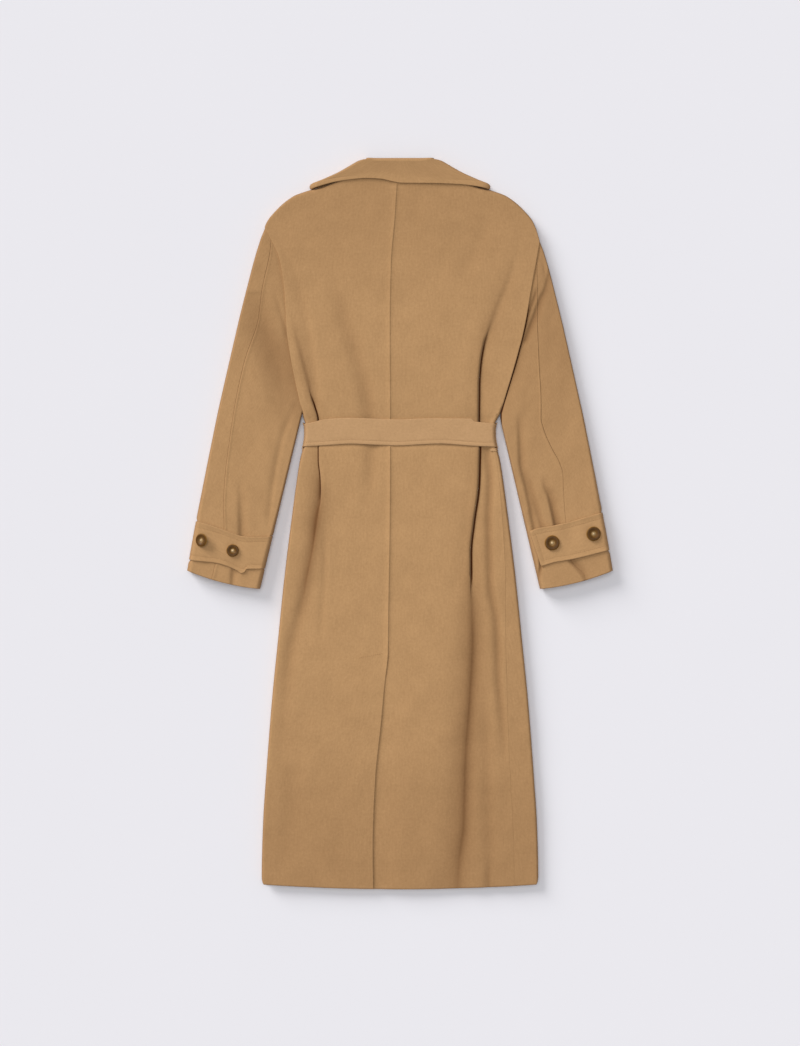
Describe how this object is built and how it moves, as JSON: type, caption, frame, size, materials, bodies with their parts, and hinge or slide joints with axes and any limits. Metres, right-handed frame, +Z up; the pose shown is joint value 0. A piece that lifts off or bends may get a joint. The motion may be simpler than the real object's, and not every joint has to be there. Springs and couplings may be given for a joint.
{
  "type": "double-breasted coat",
  "caption": "Long double-breasted wool coat laid face down, with notched collar, belt in side loops, button-down cuff straps and a centre-back vent.",
  "frame": {"origin": "on the surface the coat lies on, under the middle of its outline", "axes": "+X towards the wearer's right, +Y from the hem to the collar, +Z up off the surface, through the back of the coat"},
  "size_m": [0.703, 1.2063, 0.0335],
  "materials": {
    "coat_wool": "felted wool coating with a short soft nap, camel brown",
    "belt_wool": "the same felted wool, brushed a little lighter",
    "horn_buttons": "polished brown horn-look buttons with a darker rim"
  },
  "bodies": {
    "root": {"back_left": "coat_wool", "back_right": "coat_wool", "front_left": "coat_wool", "front_right": "coat_wool", "sleeve_upper_left": "coat_wool", "sleeve_under_left": "coat_wool", "sleeve_upper_right": "coat_wool", "sleeve_under_right": "coat_wool", "cuff_strap_left": "coat_wool", "cuff_strap_right": "coat_wool", "belt_loop_left": "belt_wool", "belt_loop_right": "belt_wool", "lapel_left": "coat_wool", "lapel_right": "coat_wool", "belt": "belt_wool", "collar_fall": "coat_wool", "collar_stand": "coat_wool", "cuff_button_left_inner": "horn_buttons", "cuff_button_left_outer": "horn_buttons", "cuff_button_right_inner": "horn_buttons", "cuff_button_right_outer": "horn_buttons", "front_button_left_1": "horn_buttons", "front_button_left_2": "horn_buttons", "front_button_left_3": "horn_buttons", "front_button_right_1": "horn_buttons", "front_button_right_2": "horn_buttons", "front_button_right_3": "horn_buttons"}
  },
  "joints": []
}
